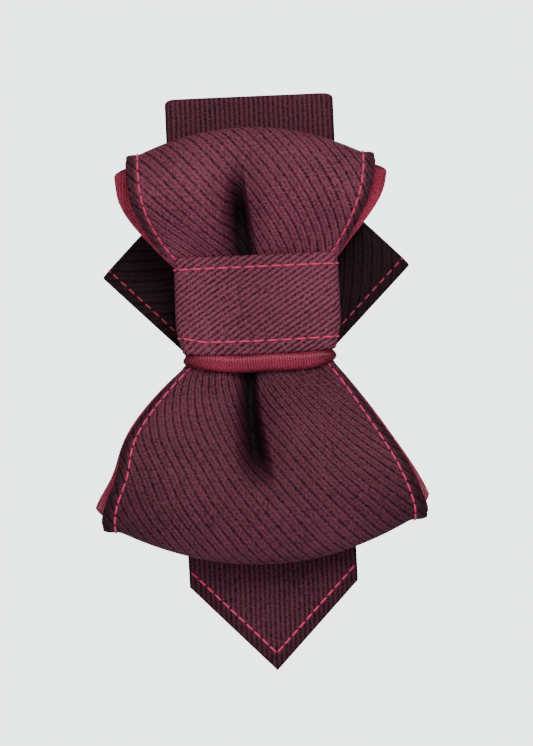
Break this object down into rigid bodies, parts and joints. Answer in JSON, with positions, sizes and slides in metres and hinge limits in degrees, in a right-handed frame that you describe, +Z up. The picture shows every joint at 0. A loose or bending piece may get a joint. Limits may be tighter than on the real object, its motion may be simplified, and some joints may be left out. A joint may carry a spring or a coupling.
{
  "type": "pre-tied vertical bow tie",
  "caption": "Pre-tied vertical bow tie: lined bow loops pinched by a wrapped knot, back strip with pointed tail, open neckband with slide, hook and eye.",
  "frame": {"origin": "centre of the back of the knot, on the outer face of the patch that lies against the shirt", "axes": "+Z up as worn, -Y towards the viewer, +Y back through the neck loop, +X to the viewer's right"},
  "size_m": [0.0982, 0.1601, 0.1653],
  "materials": {
    "ribbed_cloth": "matte burgundy ribbed weave",
    "band_cloth": "matte burgundy ribbed weave, folded double",
    "satin": "bright satin lining",
    "thread": "twisted polyester thread",
    "canvas": "woven interlining",
    "label_ribbon": "plain woven label",
    "nickel_plate": "nickel-plated wire and sheet"
  },
  "bodies": {
    "front": {"strip_cloth": "ribbed_cloth", "strip_interlining": "canvas", "strip_lining": "satin", "tail_stitching": "thread", "label_tab": "label_ribbon", "upper_cloth": "ribbed_cloth", "upper_interlining": "canvas", "upper_lining": "satin", "upper_stitching_left": "thread", "upper_stitching_right": "thread", "lower_cloth": "ribbed_cloth", "lower_interlining": "canvas", "lower_lining": "satin", "lower_stitching_left": "thread", "lower_stitching_right": "thread", "waist_thread": "thread", "knot_cloth": "ribbed_cloth", "knot_interlining": "canvas", "knot_lining": "satin", "knot_stitching_top": "thread", "knot_stitching_bottom": "thread", "left_wing_cloth": "band_cloth", "left_wing_core": "canvas", "left_wing_stitching": "thread", "right_wing_cloth": "band_cloth", "right_wing_core": "canvas", "right_wing_stitching": "thread", "wing_seam": "thread", "back_patch": "band_cloth"},
    "left_arm": {"left_band_cloth": "band_cloth", "left_band_core": "canvas", "return_run": "band_cloth", "hook_loop": "band_cloth", "hook_tack": "thread"},
    "right_arm": {"right_band_cloth": "band_cloth", "right_band_core": "canvas", "ring_loop": "band_cloth", "ring_tack": "thread"},
    "slide": {"adjuster_slide": "nickel_plate", "slide_tab": "band_cloth", "slide_tack": "thread"},
    "hook": {"hook": "nickel_plate"},
    "eye": {"eye_ring": "nickel_plate"}
  },
  "joints": [
    {"name": "left_strap_fold", "type": "hinge", "parent": "front", "child": "left_arm", "pos_m": [-0.03507, -0.0002, 0.02134], "axis": [0.7071, 0, 0.7071], "range_deg": [0, 60]},
    {"name": "right_strap_fold", "type": "hinge", "parent": "front", "child": "right_arm", "pos_m": [0.03507, -0.0002, 0.02134], "axis": [0.7071, 0, -0.7071], "range_deg": [0, 60]},
    {"name": "slide_travel", "type": "slide", "parent": "left_arm", "child": "slide", "axis": [0, -1, 0], "range_m": [0, 0.04]},
    {"name": "hook_turn", "type": "hinge", "parent": "left_arm", "child": "hook", "pos_m": [-0.0143, 0.133, 0.02134], "axis": [0, 0, 1], "range_deg": [-60, 60]},
    {"name": "eye_turn", "type": "hinge", "parent": "right_arm", "child": "eye", "pos_m": [0.0143, 0.133, 0.02134], "axis": [0, 0, 1], "range_deg": [-60, 60]}
  ]
}
